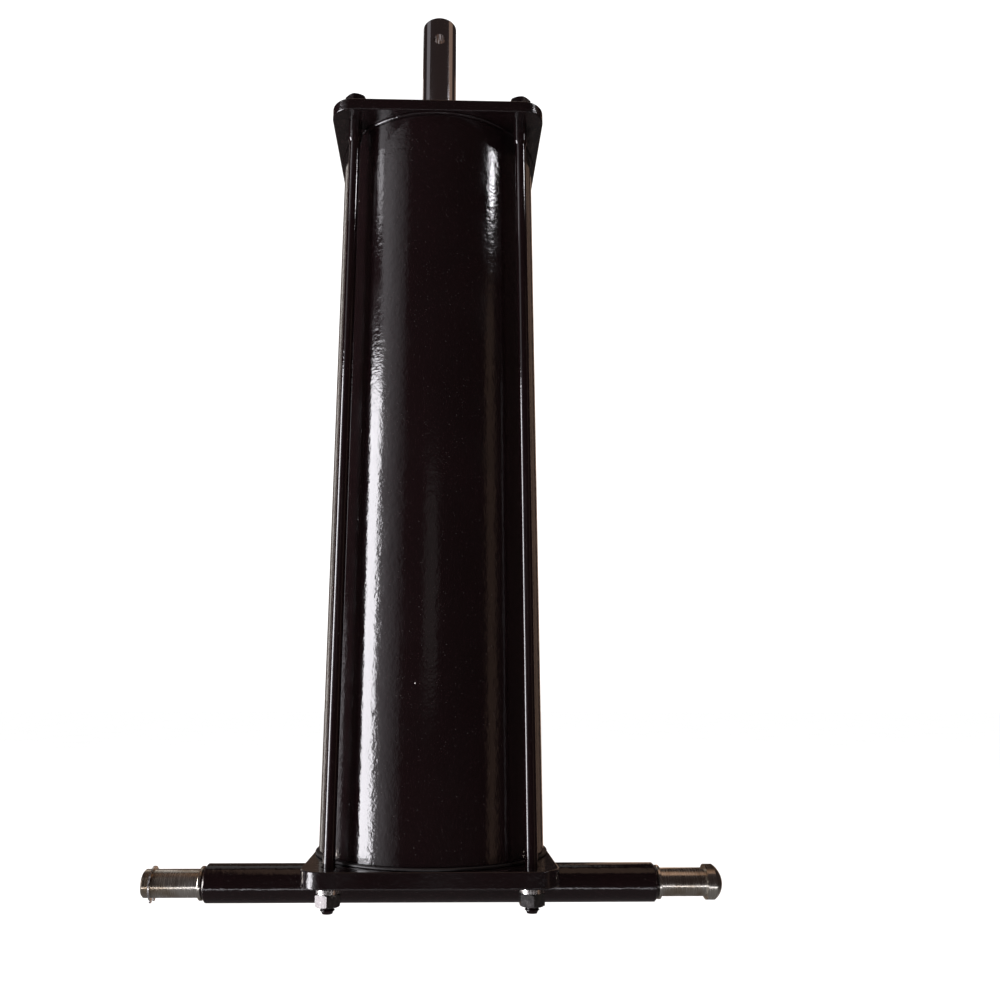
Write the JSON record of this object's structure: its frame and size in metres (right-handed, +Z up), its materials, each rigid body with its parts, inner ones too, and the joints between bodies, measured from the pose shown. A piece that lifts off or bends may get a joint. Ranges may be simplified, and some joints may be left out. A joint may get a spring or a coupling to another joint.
{
  "type": "tie-rod air cylinder",
  "caption": "Upright black air cylinder with tie rods between square end plates, a bright piston rod above, and a cross tube with a pivot pin below.",
  "frame": {"origin": "centre of the pivot pin axis, midway between the cross tube ends, on the cylinder centreline", "axes": "+Z up the cylinder towards the rod end; X along the pivot pin, with the pin head at +X; the ports face +Y"},
  "size_m": [0.3468, 0.151, 0.6184],
  "materials": {
    "tube_paint": "gloss black enamel",
    "plate_paint": "gloss black enamel on sawn plate",
    "rod_paint": "gloss black enamel",
    "nut_paint": "gloss black enamel",
    "weld_paint": "gloss black enamel over weld",
    "black_nut": "black finished steel",
    "black_screw": "black oxide",
    "zinc": "bright zinc plate",
    "pin_steel": "bright turned steel",
    "chrome_rod": "hard chrome, ground and polished",
    "gland_iron": "machined, blackened",
    "bronze": "machined",
    "piston_aluminium": "machined",
    "seal_polymer": "polyurethane",
    "wear_polymer": "filled polymer",
    "rubber": "moulded nitrile"
  },
  "bodies": {
    "cylinder": {"bottom_plate": "plate_paint", "cross_tube": "tube_paint", "cross_tube_welds": "weld_paint", "flat_washers": "black_nut", "gland_o_ring": "rubber", "gland_screws": "black_screw", "guide_bush": "bronze", "lower_bumper": "rubber", "lower_nuts": "black_nut", "port_boss_lower": "plate_paint", "port_boss_upper": "plate_paint", "port_boss_welds": "weld_paint", "pressure_tube": "tube_paint", "rod_gland": "gland_iron", "rod_seal": "seal_polymer", "rod_wiper": "seal_polymer", "spring_washers": "zinc", "tie_rod_collars": "rod_paint", "tie_rod_front_left": "rod_paint", "tie_rod_front_right": "rod_paint", "tie_rod_rear_left": "rod_paint", "tie_rod_rear_right": "rod_paint", "top_plate": "plate_paint", "tube_gasket_lower": "plate_paint", "tube_gasket_upper": "plate_paint", "upper_bumper": "rubber", "upper_nuts": "nut_paint"},
    "rod": {"piston_rod": "chrome_rod", "piston": "piston_aluminium", "piston_seal_lower": "rubber", "piston_seal_upper": "rubber", "piston_wear_ring": "wear_polymer", "piston_o_ring": "rubber", "piston_washer": "zinc", "piston_nut": "zinc"},
    "pivot_pin": {"pivot_pin": "pin_steel", "pin_washers": "pin_steel", "retaining_clip": "zinc"}
  },
  "joints": [
    {"name": "rod_slide", "type": "slide", "parent": "cylinder", "child": "rod", "axis": [0, 0, 1], "range_m": [0, 0.38]},
    {"name": "pivot_turn", "type": "hinge", "parent": "cylinder", "child": "pivot_pin", "pos_m": [0, 0, 0], "axis": [1, 0, 0], "continuous": true}
  ]
}
